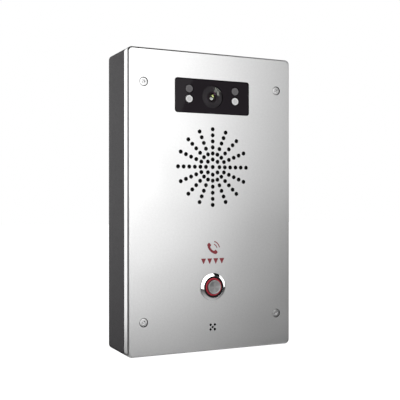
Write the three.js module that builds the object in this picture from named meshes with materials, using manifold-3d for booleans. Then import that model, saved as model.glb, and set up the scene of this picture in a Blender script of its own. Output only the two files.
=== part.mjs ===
// Door intercom panel for a wall: a charcoal back box closed by a stainless front cover, which carries
// a camera window, a speaker grille, a sprung call button and a microphone.
//
// Millimetres. The origin is the centre of the wall face, +X is to the right, +Y into the wall and
// +Z up, so the whole object stands at negative y. The front unit and everything bolted to it
// sit in groups whose own y is 0 on the front face and grows towards the wall.
import * as THREE from 'three';
import { mergeVertices } from 'three/addons/utils/BufferGeometryUtils.js';
import Module from 'manifold-3d';

const wasm = await Module();
wasm.setup();

// ---- driving dimensions ---------------------------------------------------------------------
const WIDTH = 133;
const HEIGHT = 220;
const DEPTH = 42; // wall face to front face
const CORNER = 3.4; // outer corner radius
const GAP = 0.3; // clearance between pieces that rest on each other
const SLIP = 0.1; // finer clearance inside the call button
const FLUSH = 0.15; // how far flush pieces sit behind the front face

const COVER_DEPTH = 7.5; // depth of the steel rim around the front
const COVER_WALL = 2;
const COVER_CHAMFER = 1.1;
const BOX_WALL = 3;
const TONGUE_WALL = 1.6; // lip of the box that presses on the gasket
const TONGUE_REACH = 4.1;

const SCREW_X = 54.5; // cover screws
const SCREW_Z = 85.6;
const SCREW_RADIUS = 2;
const SCREW_HEAD = 2.95;
const SCREW_RECESS = 3.2;
const SCREW_DEPTH = 0.4; // how far the heads sit below the front face

const CAMERA_Z = 77.75;
const WINDOW_WIDTH = 61;
const WINDOW_HEIGHT = 25.2;
const WINDOW_CORNER = 2;
const LIGHT_X = 18.9; // the four round windows beside the lens
const LIGHT_UPPER = 5.05; // above the lens axis
const LIGHT_LOWER = -2.35;
const LIGHT_RADIUS = 2.75;
const LENS_RADIUS = 8.3;
const LENS_BARREL_RADIUS = 4;
const CAMERA_STUD_X = 39;

const SPEAKER_Z = 25.86;
const SOUND_RAYS = 16;
const SOUND_PITCH = 4.48;
const SOUND_FIRST = 5.59; // radius of the innermost ring of holes
const SOUND_RADIUS = 1.5;
const SPEAKER_SIDE = 66;
const SPEAKER_BOLT = 28.5;

const STUD_RADIUS = 1.5; // studs welded behind the cover, their holes and their nuts
const STUD_HOLE = 1.8;
const NUT_RADIUS = 3.2;
const NUT_THICKNESS = 2.4;

const BUTTON_Z = -62.6;
const BEZEL_RADIUS = 10.2;
const BEZEL_HEIGHT = 1.95;
const BARREL_RADIUS = 9.2;
const SLEEVE_RADIUS = 8; // black ring
const LAMP_RADIUS = 6.5; // red ring
const CAP_RADIUS = 5.25;
const CAP_HEIGHT = 3.4;

const MICROPHONE_Z = -92.4;
const MICROPHONE_SPACING = 1.72;
const MICROPHONE_HOLE = 0.8;

const BOARD_FRONT = -12;
const BOARD_BACK = -10.4;
const BOARD_Z = -5;
const BOARD_SCREW_X = 46;
const BOARD_SCREW_Z = 68; // from the board's centre

const WALL_HOLE_X = 40;
const WALL_HOLE_Z = 97;
const WALL_HOLE_RADIUS = 2.4;
const CABLE_Z = -92;
const CABLE_HOLE_RADIUS = 10;
const CABLE_RADIUS = 6;

const FINE = 24; // segments of large, medium and small rounds
const MEDIUM = 16;
const COARSE = 12;
const TINY = 8;

// ---- shape helpers --------------------------------------------------------------------------
// Outlines are drawn in x and z; profiles of turned pieces are [radius, y] points.

function roundedRectangle(width, height, radius) {
  const x = width / 2 - radius;
  const z = height / 2 - radius;
  const outline = new THREE.Shape();
  outline.absarc(x, z, radius, 0, Math.PI / 2);
  outline.absarc(-x, z, radius, Math.PI / 2, Math.PI);
  outline.absarc(-x, -z, radius, Math.PI, 1.5 * Math.PI);
  outline.absarc(x, -z, radius, 1.5 * Math.PI, 2 * Math.PI);
  return outline;
}

function polygon(sides, radius) {
  const outline = new THREE.Shape();
  for (let i = 0; i < sides; i += 1) {
    const angle = (2 * Math.PI * i) / sides;
    outline.lineTo(radius * Math.cos(angle), radius * Math.sin(angle));
  }
  return outline;
}

/** Outline in x and z made into a slab from y = near to y = far. */
function slab(outline, near, far, { chamfer = 0 } = {}) {
  const geometry = new THREE.ExtrudeGeometry(outline, {
    depth: far - near - 2 * chamfer,
    curveSegments: 3,
    bevelEnabled: chamfer > 0,
    bevelThickness: chamfer,
    bevelSize: chamfer,
    bevelOffset: -chamfer,
    bevelSegments: 1,
  });
  geometry.rotateX(Math.PI / 2);
  geometry.translate(0, far - chamfer, 0);
  return geometry;
}

function block(width, depth, height, x, y, z) {
  return new THREE.BoxGeometry(width, depth, height).translate(x, y, z);
}

/** Ring or solid of revolution about y. */
function turned(profile, segments = MEDIUM) {
  const points = [...profile, profile[0]].map(([radius, y]) => new THREE.Vector2(radius, y));
  return new THREE.LatheGeometry(points, segments);
}

function rod(radius, near, far, segments = MEDIUM) {
  return turned([[0, near], [radius, near], [radius, far], [0, far]], segments);
}

function ring(inner, outer, near, far, segments = MEDIUM) {
  return turned([[inner, near], [outer, near], [outer, far], [inner, far]], segments);
}

/** Closed solid of a geometry: corners shared, slivers dropped, faces pointing out. */
function solid(shape) {
  if (!shape.isBufferGeometry) return shape;
  shape.deleteAttribute('normal');
  shape.deleteAttribute('uv');
  const merged = mergeVertices(shape);
  const index = merged.getIndex().array;
  const [a, b, c] = [new THREE.Vector3(), new THREE.Vector3(), new THREE.Vector3()];
  const points = merged.getAttribute('position');
  const triangles = [];
  let volume = 0;
  for (let i = 0; i < index.length; i += 3) {
    const [p, q, r] = index.slice(i, i + 3);
    if (p === q || q === r || r === p) continue;
    triangles.push(p, q, r);
    a.fromBufferAttribute(points, p);
    b.fromBufferAttribute(points, q);
    c.fromBufferAttribute(points, r);
    volume += a.dot(b.cross(c));
  }
  if (volume < 0) triangles.reverse();
  const mesh = new wasm.Mesh({
    numProp: 3,
    vertProperties: Float32Array.from(points.array),
    triVerts: Uint32Array.from(triangles),
  });
  return new wasm.Manifold(mesh);
}

function join(...shapes) {
  return shapes.map(solid).reduce((whole, shape) => whole.add(shape));
}

function cut(body, ...tools) {
  return tools.map(solid).reduce((rest, tool) => rest.subtract(tool), solid(body));
}

/** All four sign combinations of (x, z). */
function corners(x, z) {
  return [[-x, z], [x, z], [-x, -z], [x, -z]];
}

// ---- finishes -------------------------------------------------------------------------------
const finish = (color, roughness, metalness) => ({ color, roughness, metalness });
const STEEL = finish(0xc9c9c8, 0.35, 1);
const CHARCOAL = finish(0x4c4a4c, 0.55, 0.2);
const POLISHED = finish(0xe2e2e2, 0.08, 1);
const ZINC = finish(0xb4b6b8, 0.4, 1);
const RUBBER = finish(0x171717, 0.85, 0);
const BLACK_GLOSS = finish(0x141214, 0.1, 0);
const BLACK_MATTE = finish(0x1b1b1c, 0.6, 0);
const GLASS = finish(0x20242a, 0.03, 0);
const DIFFUSER = finish(0xe6e6e4, 0.4, 0);
const SMOKED = finish(0x646366, 0.35, 0);
const RED = finish(0xa32b3a, 0.3, 0);
const LAMINATE = finish(0x1f5a36, 0.5, 0);
const SILICON = finish(0x232427, 0.4, 0);
const BRASS = finish(0xc2a14e, 0.3, 1);
const PAPER = finish(0x35332f, 0.8, 0);
const GREEN_PLASTIC = finish(0x2f8a57, 0.5, 0);

function piece(name, shape, look, x = 0, z = 0) {
  const { vertProperties, triVerts } = solid(shape).getMesh();
  const geometry = new THREE.BufferGeometry();
  geometry.setAttribute('position', new THREE.BufferAttribute(vertProperties, 3));
  geometry.setIndex(new THREE.BufferAttribute(triVerts, 1));
  geometry.computeVertexNormals();
  const mesh = new THREE.Mesh(geometry, new THREE.MeshStandardMaterial(look));
  mesh.name = name;
  mesh.position.set(x, 0, z);
  return mesh;
}

// ---- back box -------------------------------------------------------------------------------
function backBox() {
  const rim = -(DEPTH - COVER_DEPTH) + GAP;
  const tongueWidth = WIDTH - 2 * (COVER_WALL + GAP);
  const tongueHeight = HEIGHT - 2 * (COVER_WALL + GAP);
  const tongueCorner = CORNER - COVER_WALL - GAP;
  const tongueInner = roundedRectangle(tongueWidth - 2 * TONGUE_WALL, tongueHeight - 2 * TONGUE_WALL, 1);
  const tongue = cut(
    slab(roundedRectangle(tongueWidth, tongueHeight, tongueCorner), rim - TONGUE_REACH, rim + TONGUE_WALL),
    slab(tongueInner, rim - TONGUE_REACH - 1, rim + TONGUE_WALL + 1),
  );
  const inner = roundedRectangle(WIDTH - 2 * BOX_WALL, HEIGHT - 2 * BOX_WALL, 1);
  const tray = cut(slab(roundedRectangle(WIDTH, HEIGHT, CORNER), rim, 0), slab(inner, rim - 1, -BOX_WALL));

  const postRadius = 4.5;
  const postFront = -DEPTH + COVER_WALL + GAP;
  const postBore = SCREW_RADIUS + GAP;
  const ribLength = WIDTH / 2 - BOX_WALL / 2 - SCREW_X;
  const added = [tray, tongue];
  const removed = [];
  for (const [x, z] of corners(SCREW_X, SCREW_Z)) {
    const ribX = Math.sign(x) * (SCREW_X + ribLength / 2);
    added.push(rod(postRadius, postFront, -1, COARSE).translate(x, 0, z));
    added.push(block(ribLength, -1 - rim, 2, ribX, (rim - 1) / 2, z));
    removed.push(rod(postBore, postFront - 1, -18, COARSE).translate(x, 0, z));
  }
  for (const [x, z] of corners(BOARD_SCREW_X, BOARD_SCREW_Z)) {
    added.push(rod(3.5, BOARD_BACK + GAP, -1, COARSE).translate(x, 0, z + BOARD_Z));
    removed.push(rod(1.5, BOARD_BACK - 1, -BOX_WALL - 0.5, TINY).translate(x, 0, z + BOARD_Z));
  }
  for (const [x, z] of corners(WALL_HOLE_X, WALL_HOLE_Z)) {
    removed.push(rod(WALL_HOLE_RADIUS, -BOX_WALL - 1, 1, COARSE).translate(x, 0, z));
  }
  removed.push(rod(CABLE_HOLE_RADIUS, -BOX_WALL - 1, 1, FINE).translate(0, 0, CABLE_Z));
  removed.push(rod(CABLE_HOLE_RADIUS + 3.3, -1.3, 1, FINE).translate(0, 0, CABLE_Z));
  return cut(join(...added), ...removed);
}

/** Rubber grommet gripping the edge of the cable hole, flush with the wall face. */
function cableGrommet() {
  const grip = CABLE_HOLE_RADIUS - GAP;
  const flange = CABLE_HOLE_RADIUS + 3;
  const inside = -BOX_WALL - GAP;
  return turned([
    [CABLE_RADIUS, -0.1], [flange, -0.1], [flange, -1], [grip, -1],
    [grip, inside], [flange - 0.5, inside], [CABLE_RADIUS + 3, inside - 3], [CABLE_RADIUS, inside - 3],
  ], FINE);
}

function boxUnit() {
  const unit = new THREE.Group();
  unit.add(piece('back_box', backBox(), CHARCOAL));
  unit.add(piece('cable_grommet', cableGrommet(), RUBBER, 0, CABLE_Z));
  return unit;
}

// ---- main board, bolted into the box ----------------------------------------------------------
function heatSink() {
  const side = 22;
  const fins = [-9, -4.5, 0, 4.5, 9].map((x) => block(1.4, 6, side, x, -5, 0));
  return join(block(side, 2, side, 0, -1, 0), ...fins);
}

function networkJack() {
  const plugWay = block(11.8, 8, 16, 0, -7.5, -3);
  return cut(block(16, 13.5, 21, 0, -6.75, 0), plugWay);
}

function terminalBlock() {
  const entries = [-7.5, -2.5, 2.5, 7.5].map((x) => block(2.6, 2.6, 6, x, -3.5, -3));
  const heads = [-7.5, -2.5, 2.5, 7.5].map((x) => rod(1.5, -11, -8.5, TINY).translate(x, 0, 1));
  return cut(block(20, 10, 9, 0, -5, 0), ...entries, ...heads);
}

function mainBoard() {
  const holes = corners(BOARD_SCREW_X, BOARD_SCREW_Z).map(([x, z]) => (
    rod(1.5, BOARD_FRONT - 1, BOARD_BACK + 1, TINY).translate(x, 0, z)
  ));
  return cut(slab(roundedRectangle(104, 150, 3), BOARD_FRONT, BOARD_BACK), ...holes);
}

function boardScrew() {
  const seat = BOARD_FRONT - GAP;
  return turned([[0, seat - 1.8], [2.2, seat - 1.8], [2.7, seat], [1.2, seat], [1.2, -5], [0, -5]], COARSE);
}

function boardUnit() {
  const unit = new THREE.Group();
  unit.position.z = BOARD_Z;
  unit.add(piece('main_board', mainBoard(), LAMINATE));
  corners(BOARD_SCREW_X, BOARD_SCREW_Z).forEach(([x, z], i) => {
    unit.add(piece(`board_screw_${i + 1}`, boardScrew(), ZINC, x, z));
  });
  const onBoard = new THREE.Group();
  onBoard.position.y = BOARD_FRONT - GAP;
  const chipHeight = 1.8;
  const sink = piece('heat_sink', heatSink(), BLACK_MATTE, 0, -22);
  sink.position.y = -chipHeight - GAP;
  onBoard.add(
    piece('processor', block(15, chipHeight, 15, 0, -chipHeight / 2, 0), SILICON, 0, -22),
    sink,
    piece('network_jack', networkJack(), ZINC, -36, -56),
    piece('terminal_block', terminalBlock(), GREEN_PLASTIC, 30, -61),
  );
  unit.add(onBoard);
  return unit;
}

// ---- front cover ------------------------------------------------------------------------------
function soundHoles() {
  const holes = [rod(SOUND_RADIUS, -1, COVER_WALL + 1, TINY)];
  for (let ray = 0; ray < SOUND_RAYS; ray += 1) {
    const angle = (2 * Math.PI * ray) / SOUND_RAYS;
    for (let step = ray % 2; step < 6; step += 1) {
      const radius = SOUND_FIRST + step * SOUND_PITCH;
      const [x, z] = [radius * Math.cos(angle), radius * Math.sin(angle)];
      holes.push(rod(SOUND_RADIUS, -1, COVER_WALL + 1, TINY).translate(x, 0, z));
    }
  }
  return holes.map((hole) => hole.translate(0, 0, SPEAKER_Z));
}

function microphoneHoles() {
  const places = [[0, 0], ...corners(MICROPHONE_SPACING, MICROPHONE_SPACING)];
  return places.map(([x, z]) => (
    rod(MICROPHONE_HOLE, -1, COVER_WALL + 1, TINY).translate(x, 0, z + MICROPHONE_Z)
  ));
}

function frontCover() {
  const outer = slab(roundedRectangle(WIDTH, HEIGHT, CORNER), 0, COVER_DEPTH + 4, { chamfer: COVER_CHAMFER });
  const inner = roundedRectangle(WIDTH - 2 * COVER_WALL, HEIGHT - 2 * COVER_WALL, CORNER - COVER_WALL);
  const behind = block(WIDTH + 10, 20, HEIGHT + 10, 0, COVER_DEPTH + 10, 0);
  const tray = cut(outer, behind, slab(inner, COVER_WALL, COVER_DEPTH + 1));

  const studRoot = COVER_WALL - 0.5;
  const studs = [-CAMERA_STUD_X, CAMERA_STUD_X].map((x) => (
    rod(STUD_RADIUS, studRoot, COVER_WALL + 9, TINY).translate(x, 0, CAMERA_Z)
  ));
  for (const [x, z] of corners(SPEAKER_BOLT, SPEAKER_BOLT)) {
    studs.push(rod(STUD_RADIUS, studRoot, COVER_WALL + 8, TINY).translate(x, 0, z + SPEAKER_Z));
  }

  const window = roundedRectangle(WINDOW_WIDTH, WINDOW_HEIGHT, WINDOW_CORNER);
  const openings = [
    slab(window, -1, COVER_WALL + 1).translate(0, 0, CAMERA_Z),
    rod(BARREL_RADIUS + 0.4, -1, COVER_WALL + 1, FINE).translate(0, 0, BUTTON_Z),
    ...soundHoles(),
    ...microphoneHoles(),
  ];
  for (const [x, z] of corners(SCREW_X, SCREW_Z)) {
    openings.push(rod(SCREW_RADIUS + 0.4, -1, COVER_WALL + 1, COARSE).translate(x, 0, z));
    openings.push(rod(SCREW_RECESS, -1, 1.3, MEDIUM).translate(x, 0, z));
  }
  return cut(join(tray, ...studs), ...openings);
}

/** Flat rubber ring between the lip of the box and the cover. */
function coverGasket() {
  const width = WIDTH - 2 * (COVER_WALL + GAP);
  const height = HEIGHT - 2 * (COVER_WALL + GAP);
  const lip = COVER_DEPTH - GAP - TONGUE_REACH; // front edge of the box's lip
  const near = COVER_WALL + SLIP;
  const far = lip - SLIP;
  const hole = slab(roundedRectangle(width - 4, height - 4, 1), near - 1, far + 1);
  return cut(slab(roundedRectangle(width, height, 1.1), near, far), hole);
}

/** Flat-headed tamper-proof screw with a six-sided recess. */
function coverScrew() {
  const underHead = 1;
  const body = turned([
    [0, SCREW_DEPTH], [SCREW_HEAD - 0.2, SCREW_DEPTH], [SCREW_HEAD, SCREW_DEPTH + 0.2], [SCREW_HEAD, underHead],
    [SCREW_RADIUS, underHead], [SCREW_RADIUS, 19.5], [SCREW_RADIUS - 0.5, 20], [0, 20],
  ], COARSE);
  const pin = rod(0.45, -2, 3, 6);
  return cut(body, cut(slab(polygon(6, 1.55), -1, 1.6), pin), rod(0.5, -1, 0.5, 6));
}

// ---- camera behind its window -----------------------------------------------------------------
const LIGHTS = [
  ['left_sensor', -LIGHT_X, LIGHT_UPPER, SMOKED],
  ['right_sensor', LIGHT_X, LIGHT_UPPER, SMOKED],
  ['left_lamp', -LIGHT_X, LIGHT_LOWER, DIFFUSER],
  ['right_lamp', LIGHT_X, LIGHT_LOWER, DIFFUSER],
];
const WINDOW_FLANGE = 3.4; // depth at which the window's flange starts
const WINDOW_BACK = 4.9;

function cameraWindow() {
  const front = roundedRectangle(WINDOW_WIDTH - 2 * GAP, WINDOW_HEIGHT - 2 * GAP, WINDOW_CORNER - GAP);
  const flange = roundedRectangle(WINDOW_WIDTH + 5, WINDOW_HEIGHT + 5, 3);
  const body = join(slab(front, FLUSH, WINDOW_FLANGE + 0.5), slab(flange, WINDOW_FLANGE, WINDOW_BACK));
  const holes = LIGHTS.map(([, x, z]) => rod(LIGHT_RADIUS + 0.5, -1, 9, MEDIUM).translate(x, 0, z));
  return cut(body, rod(LENS_RADIUS + GAP, -1, 9, FINE), ...holes);
}

function windowGasket() {
  const outer = roundedRectangle(WINDOW_WIDTH + 5, WINDOW_HEIGHT + 5, 3);
  const inner = roundedRectangle(WINDOW_WIDTH, WINDOW_HEIGHT, WINDOW_CORNER);
  return cut(slab(outer, COVER_WALL + GAP, WINDOW_FLANGE - GAP), slab(inner, 0, 9));
}

/** Light pipe of a lamp or sensor, with a retaining flange behind the window. */
function lightPipe() {
  const seat = WINDOW_BACK + GAP;
  const flange = LIGHT_RADIUS + 0.8;
  return turned([
    [0, FLUSH], [LIGHT_RADIUS - 0.2, FLUSH], [LIGHT_RADIUS, FLUSH + 0.2], [LIGHT_RADIUS, seat],
    [flange, seat], [flange, seat + 0.6], [0, seat + 0.6],
  ], MEDIUM);
}

/** Slightly domed cover glass, flush with the window. */
function lensGlass() {
  return turned([
    [0, FLUSH], [3, 0.2], [6, 0.34], [LENS_RADIUS, 0.55],
    [LENS_RADIUS, 0.9], [6, 0.69], [3, 0.55], [0, 0.5],
  ], FINE);
}

/** Black shroud whose front falls away from the barrel like a low cone. */
function lensHolder() {
  const seat = WINDOW_BACK + GAP;
  const inner = LENS_BARREL_RADIUS + GAP;
  const flange = LENS_RADIUS + 1.1;
  return turned([
    [inner, 0.8], [LENS_RADIUS, 1.15], [LENS_RADIUS, seat], [flange, seat], [flange, 6.4], [inner, 6.4],
  ], FINE);
}

/** Barrel with a shallow well in its front for the inner lens. */
function lensBarrel() {
  const [well, front, floor, back] = [2.9, 0.8, 2.6, 14];
  return turned([
    [well, front], [LENS_BARREL_RADIUS, front], [LENS_BARREL_RADIUS, back], [0, back], [0, floor], [well, floor],
  ], MEDIUM);
}

function innerLens() {
  return turned([[0, 0.8], [0.9, 0.9], [1.8, 1.2], [2.6, 1.7], [2.6, 2.3], [0, 2.3]], MEDIUM);
}

/** Folded strap that bridges the camera from stud to stud, 20 mm tall. */
function cameraBracket() {
  const sheet = 1.2;
  const [ear, foot, bridge] = [43, 6.4, 20.2];
  const leg = 35.2; // outer face of each leg
  const half = [
    [ear, foot], [ear, foot + sheet], [leg, foot + sheet], [leg, bridge],
    [-leg, bridge], [-leg, foot + sheet], [-ear, foot + sheet], [-ear, foot],
    [-leg + sheet, foot], [-leg + sheet, bridge - sheet], [leg - sheet, bridge - sheet], [leg - sheet, foot],
  ];
  const outline = new THREE.Shape(half.map(([x, y]) => new THREE.Vector2(x, y)));
  const strap = new THREE.ExtrudeGeometry(outline, { depth: 20, bevelEnabled: false }).translate(0, 0, -10);
  const holes = [-CAMERA_STUD_X, CAMERA_STUD_X].map((x) => rod(STUD_HOLE, 0, 12, TINY).translate(x, 0, 0));
  return cut(strap, ...holes);
}

function hexNut(bore, radius, near, far, segments) {
  return cut(slab(polygon(6, radius), near, far), rod(bore, near - 1, far + 1, segments));
}

function studNut(near) {
  return hexNut(STUD_HOLE, NUT_RADIUS, near, near + NUT_THICKNESS, TINY);
}

function cameraUnit() {
  const unit = new THREE.Group();
  unit.position.z = CAMERA_Z;
  const lightBoard = cut(slab(roundedRectangle(58, 24, 2), 7.6, 8.8), rod(10, 7, 9.5, MEDIUM));
  unit.add(
    piece('camera_window', cameraWindow(), BLACK_GLOSS),
    piece('window_gasket', windowGasket(), RUBBER),
    piece('lens_glass', lensGlass(), GLASS),
    piece('lens_holder', lensHolder(), BLACK_MATTE),
    piece('lens_barrel', lensBarrel(), BLACK_MATTE),
    piece('inner_lens', innerLens(), GLASS),
    piece('image_sensor', block(8, 1, 8, 0, 14.8, 0), SILICON),
    piece('camera_board', slab(roundedRectangle(40, 26, 2), 15.6, 17), LAMINATE),
    piece('light_board', lightBoard, LAMINATE),
    piece('camera_bracket', cameraBracket(), ZINC),
    piece('camera_nut_1', studNut(7.9), ZINC, -CAMERA_STUD_X),
    piece('camera_nut_2', studNut(7.9), ZINC, CAMERA_STUD_X),
  );
  for (const [name, x, z, look] of LIGHTS) {
    unit.add(piece(`${name}_window`, lightPipe(), look, x, z));
    unit.add(piece(`${name}_chip`, block(3.2, 1.2, 3.2, 0, 6.7, 0), SILICON, x, z));
  }
  return unit;
}

// ---- loudspeaker ------------------------------------------------------------------------------
function speakerFrame() {
  const near = 4.5;
  const flange = cut(
    slab(roundedRectangle(SPEAKER_SIDE, SPEAKER_SIDE, 8), near, near + 1.5),
    rod(28.6, 0, 9, FINE),
  );
  const basket = turned([
    [29.4, 5.4], [30.6, 5.4], [30.6, 8.5], [15.4, 16.4], [6, 16.4], [6, 15.2], [14.2, 15.2], [29.4, 8],
  ], FINE);
  const holes = corners(SPEAKER_BOLT, SPEAKER_BOLT).map(([x, z]) => (
    rod(STUD_HOLE, 0, 9, TINY).translate(x, 0, z)
  ));
  return cut(join(flange, basket), ...holes);
}

/** Paper cone with its surround and dust cap, 0.6 mm thick. */
function speakerCone() {
  const front = [[0, 10.6], [4, 11.1], [7, 12.6], [25.2, 6.9], [26.6, 6.2], [28.2, 6.9]];
  const back = front.map(([radius, y]) => [radius, y + 0.6]).reverse();
  return turned([...front, ...back], FINE);
}

function speakerMagnet() {
  return turned([[0, 16.7], [14.4, 16.7], [14.4, 18.2], [15, 18.2], [15, 24.5], [0, 24.5]], FINE);
}

function speakerUnit() {
  const unit = new THREE.Group();
  unit.position.z = SPEAKER_Z;
  unit.add(
    piece('acoustic_membrane', rod(31, COVER_WALL + GAP, COVER_WALL + 0.7, FINE), PAPER),
    piece('speaker_gasket', ring(29, 32.5, 3, 4.2, FINE), RUBBER),
    piece('speaker_frame', speakerFrame(), ZINC),
    piece('speaker_cone', speakerCone(), PAPER),
    piece('speaker_magnet', speakerMagnet(), ZINC),
  );
  corners(SPEAKER_BOLT, SPEAKER_BOLT).forEach(([x, z], i) => {
    unit.add(piece(`speaker_nut_${i + 1}`, studNut(6.3), ZINC, x, z));
  });
  return unit;
}

// ---- call button ------------------------------------------------------------------------------
const SWITCH_FRONT = 9; // where the return spring rests
const CAP_FLANGE = 3.6; // shoulder that keeps the cap behind the lamp ring

function buttonBezel() {
  const end = 20;
  return turned([
    [SLEEVE_RADIUS, end], [BARREL_RADIUS, end], [BARREL_RADIUS, -0.5], [BEZEL_RADIUS, -0.5],
    [BEZEL_RADIUS, -0.75], [BEZEL_RADIUS - 0.5, -1.3], [BEZEL_RADIUS - 1.2, -1.7],
    [SLEEVE_RADIUS + 0.2, -BEZEL_HEIGHT], [SLEEVE_RADIUS, -BEZEL_HEIGHT],
  ], FINE);
}

/** Cap and plunger in one: a low turned button with a shoulder and a stem. */
function buttonCap() {
  return turned([
    [0, -CAP_HEIGHT], [CAP_RADIUS - 0.4, -CAP_HEIGHT], [CAP_RADIUS, 0.35 - CAP_HEIGHT],
    [CAP_RADIUS, CAP_FLANGE], [6.2, CAP_FLANGE], [6.2, CAP_FLANGE + 1], [2.5, CAP_FLANGE + 1],
    [2.5, 10.5], [0, 10.5],
  ], FINE);
}

function buttonSpring() {
  const wire = 0.25;
  const turns = 4;
  const [start, end] = [CAP_FLANGE + 1 + 2 * wire, SWITCH_FRONT - 2 * wire];
  const coil = new THREE.Curve();
  coil.getPoint = (t, target = new THREE.Vector3()) => {
    const angle = 2 * Math.PI * turns * t;
    return target.set(3.9 * Math.cos(angle), start + (end - start) * t, 3.9 * Math.sin(angle));
  };
  const section = polygon(5, wire);
  return new THREE.ExtrudeGeometry(section, { extrudePath: coil, steps: 10 * turns, bevelEnabled: false });
}

function buttonSwitch() {
  return turned([
    [2.8, SWITCH_FRONT], [7.9, SWITCH_FRONT], [7.9, 22.5], [0, 22.5], [0, 13], [2.8, 13],
  ], MEDIUM);
}

function buttonUnit() {
  const unit = new THREE.Group();
  unit.position.z = BUTTON_Z;
  const sleeve = ring(LAMP_RADIUS + SLIP, SLEEVE_RADIUS - SLIP, SLIP - BEZEL_HEIGHT, 6, FINE);
  const lamp = ring(CAP_RADIUS + 2 * SLIP, LAMP_RADIUS, -1.85, CAP_FLANGE - GAP, FINE);
  unit.add(
    piece('button_bezel', buttonBezel(), POLISHED),
    piece('button_gasket', ring(BARREL_RADIUS + GAP, BEZEL_RADIUS - 0.3, -0.4, -SLIP, FINE), RUBBER),
    piece('button_sleeve', sleeve, BLACK_MATTE),
    piece('button_lamp_ring', lamp, RED),
    piece('button_cap', buttonCap(), STEEL),
    piece('button_spring', buttonSpring(), ZINC),
    piece('button_switch', buttonSwitch(), BLACK_MATTE),
    piece('button_nut', hexNut(BARREL_RADIUS + GAP, 12.7, COVER_WALL + GAP, 5.3, FINE), ZINC),
  );
  corners(3.2, 3.6).forEach(([x, z], i) => {
    unit.add(piece(`button_terminal_${i + 1}`, block(2.2, 4.4, 0.7, 0, 25, 0), BRASS, x, z));
  });
  return unit;
}

// ---- microphone -------------------------------------------------------------------------------
function microphoneUnit() {
  const unit = new THREE.Group();
  unit.position.z = MICROPHONE_Z;
  const near = COVER_WALL + GAP;
  const boot = turned([[3.1, near], [6.5, near], [6.5, 10], [5.1, 10], [5.1, 3.6], [3.1, 3.6]], MEDIUM);
  unit.add(
    piece('microphone_boot', boot, RUBBER),
    piece('microphone_capsule', rod(4.8, 3.9, 8.9, MEDIUM), ZINC),
  );
  return unit;
}

// ---- whole panel --------------------------------------------------------------------------------
const front = new THREE.Group();
front.position.y = -DEPTH;
front.add(piece('front_cover', frontCover(), STEEL));
front.add(piece('cover_gasket', coverGasket(), RUBBER));
corners(SCREW_X, SCREW_Z).forEach(([x, z], i) => {
  front.add(piece(`cover_screw_${i + 1}`, coverScrew(), STEEL, x, z));
});
front.add(cameraUnit(), speakerUnit(), buttonUnit(), microphoneUnit());

const group = new THREE.Group();
group.add(boxUnit(), boardUnit(), front);

export default group;
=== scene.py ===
"""Looks of the door intercom panel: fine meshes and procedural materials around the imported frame.

Lengths in the helpers and the pieces are millimetres in the row frame: x to the right, y into the
wall, z up, with the wall face at y = 0. Everything is scaled to metres when a mesh is made.
"""
import math

import bmesh
import bpy
from mathutils import Matrix, Vector


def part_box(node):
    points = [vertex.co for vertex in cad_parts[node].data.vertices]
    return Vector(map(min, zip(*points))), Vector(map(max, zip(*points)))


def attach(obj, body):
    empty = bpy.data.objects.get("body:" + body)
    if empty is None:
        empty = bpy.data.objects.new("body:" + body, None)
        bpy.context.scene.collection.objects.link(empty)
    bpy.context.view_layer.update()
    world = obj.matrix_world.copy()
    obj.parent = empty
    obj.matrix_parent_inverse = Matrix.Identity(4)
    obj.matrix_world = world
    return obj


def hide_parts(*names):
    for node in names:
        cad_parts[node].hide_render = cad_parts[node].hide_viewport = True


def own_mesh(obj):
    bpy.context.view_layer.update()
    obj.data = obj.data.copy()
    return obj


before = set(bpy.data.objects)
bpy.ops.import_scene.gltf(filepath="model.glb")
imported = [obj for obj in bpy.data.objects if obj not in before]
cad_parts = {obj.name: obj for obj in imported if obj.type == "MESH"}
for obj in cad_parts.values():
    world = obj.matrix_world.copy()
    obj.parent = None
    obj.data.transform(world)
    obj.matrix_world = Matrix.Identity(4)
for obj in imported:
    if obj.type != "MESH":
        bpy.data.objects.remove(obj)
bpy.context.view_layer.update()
MM = 0.001

CASE = "case"
CALL_BUTTON = "call_button"


# ---- places, from the frame ------------------------------------------------------------------
def span(node):
    """Lowest and highest corner of a CAD node, in millimetres."""
    low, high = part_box(node)
    return low / MM, high / MM


def centre(node):
    low, high = span(node)
    return (low + high) / 2


COVER_LOW, COVER_HIGH = span("front_cover")
BOX_LOW, BOX_HIGH = span("back_box")
WIDTH = COVER_HIGH.x - COVER_LOW.x
HEIGHT = COVER_HIGH.z - COVER_LOW.z
FRONT = COVER_LOW.y  # y of the front face
CORNER = 3.4
GAP = 0.3

COVER_DEPTH = 7.5
COVER_WALL = 2.0
COVER_CHAMFER = 1.07
BOX_WALL = 3.0
TONGUE_WALL = 1.6
TONGUE_REACH = 4.1

WINDOW = centre("camera_window")
LENS = centre("lens_glass")
SPEAKER = centre("acoustic_membrane")
BUTTON = centre("button_bezel")
MICROPHONE = centre("microphone_boot")
CABLE = centre("cable_grommet")
SCREWS = [centre(f"cover_screw_{i}") for i in (1, 2, 3, 4)]

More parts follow.
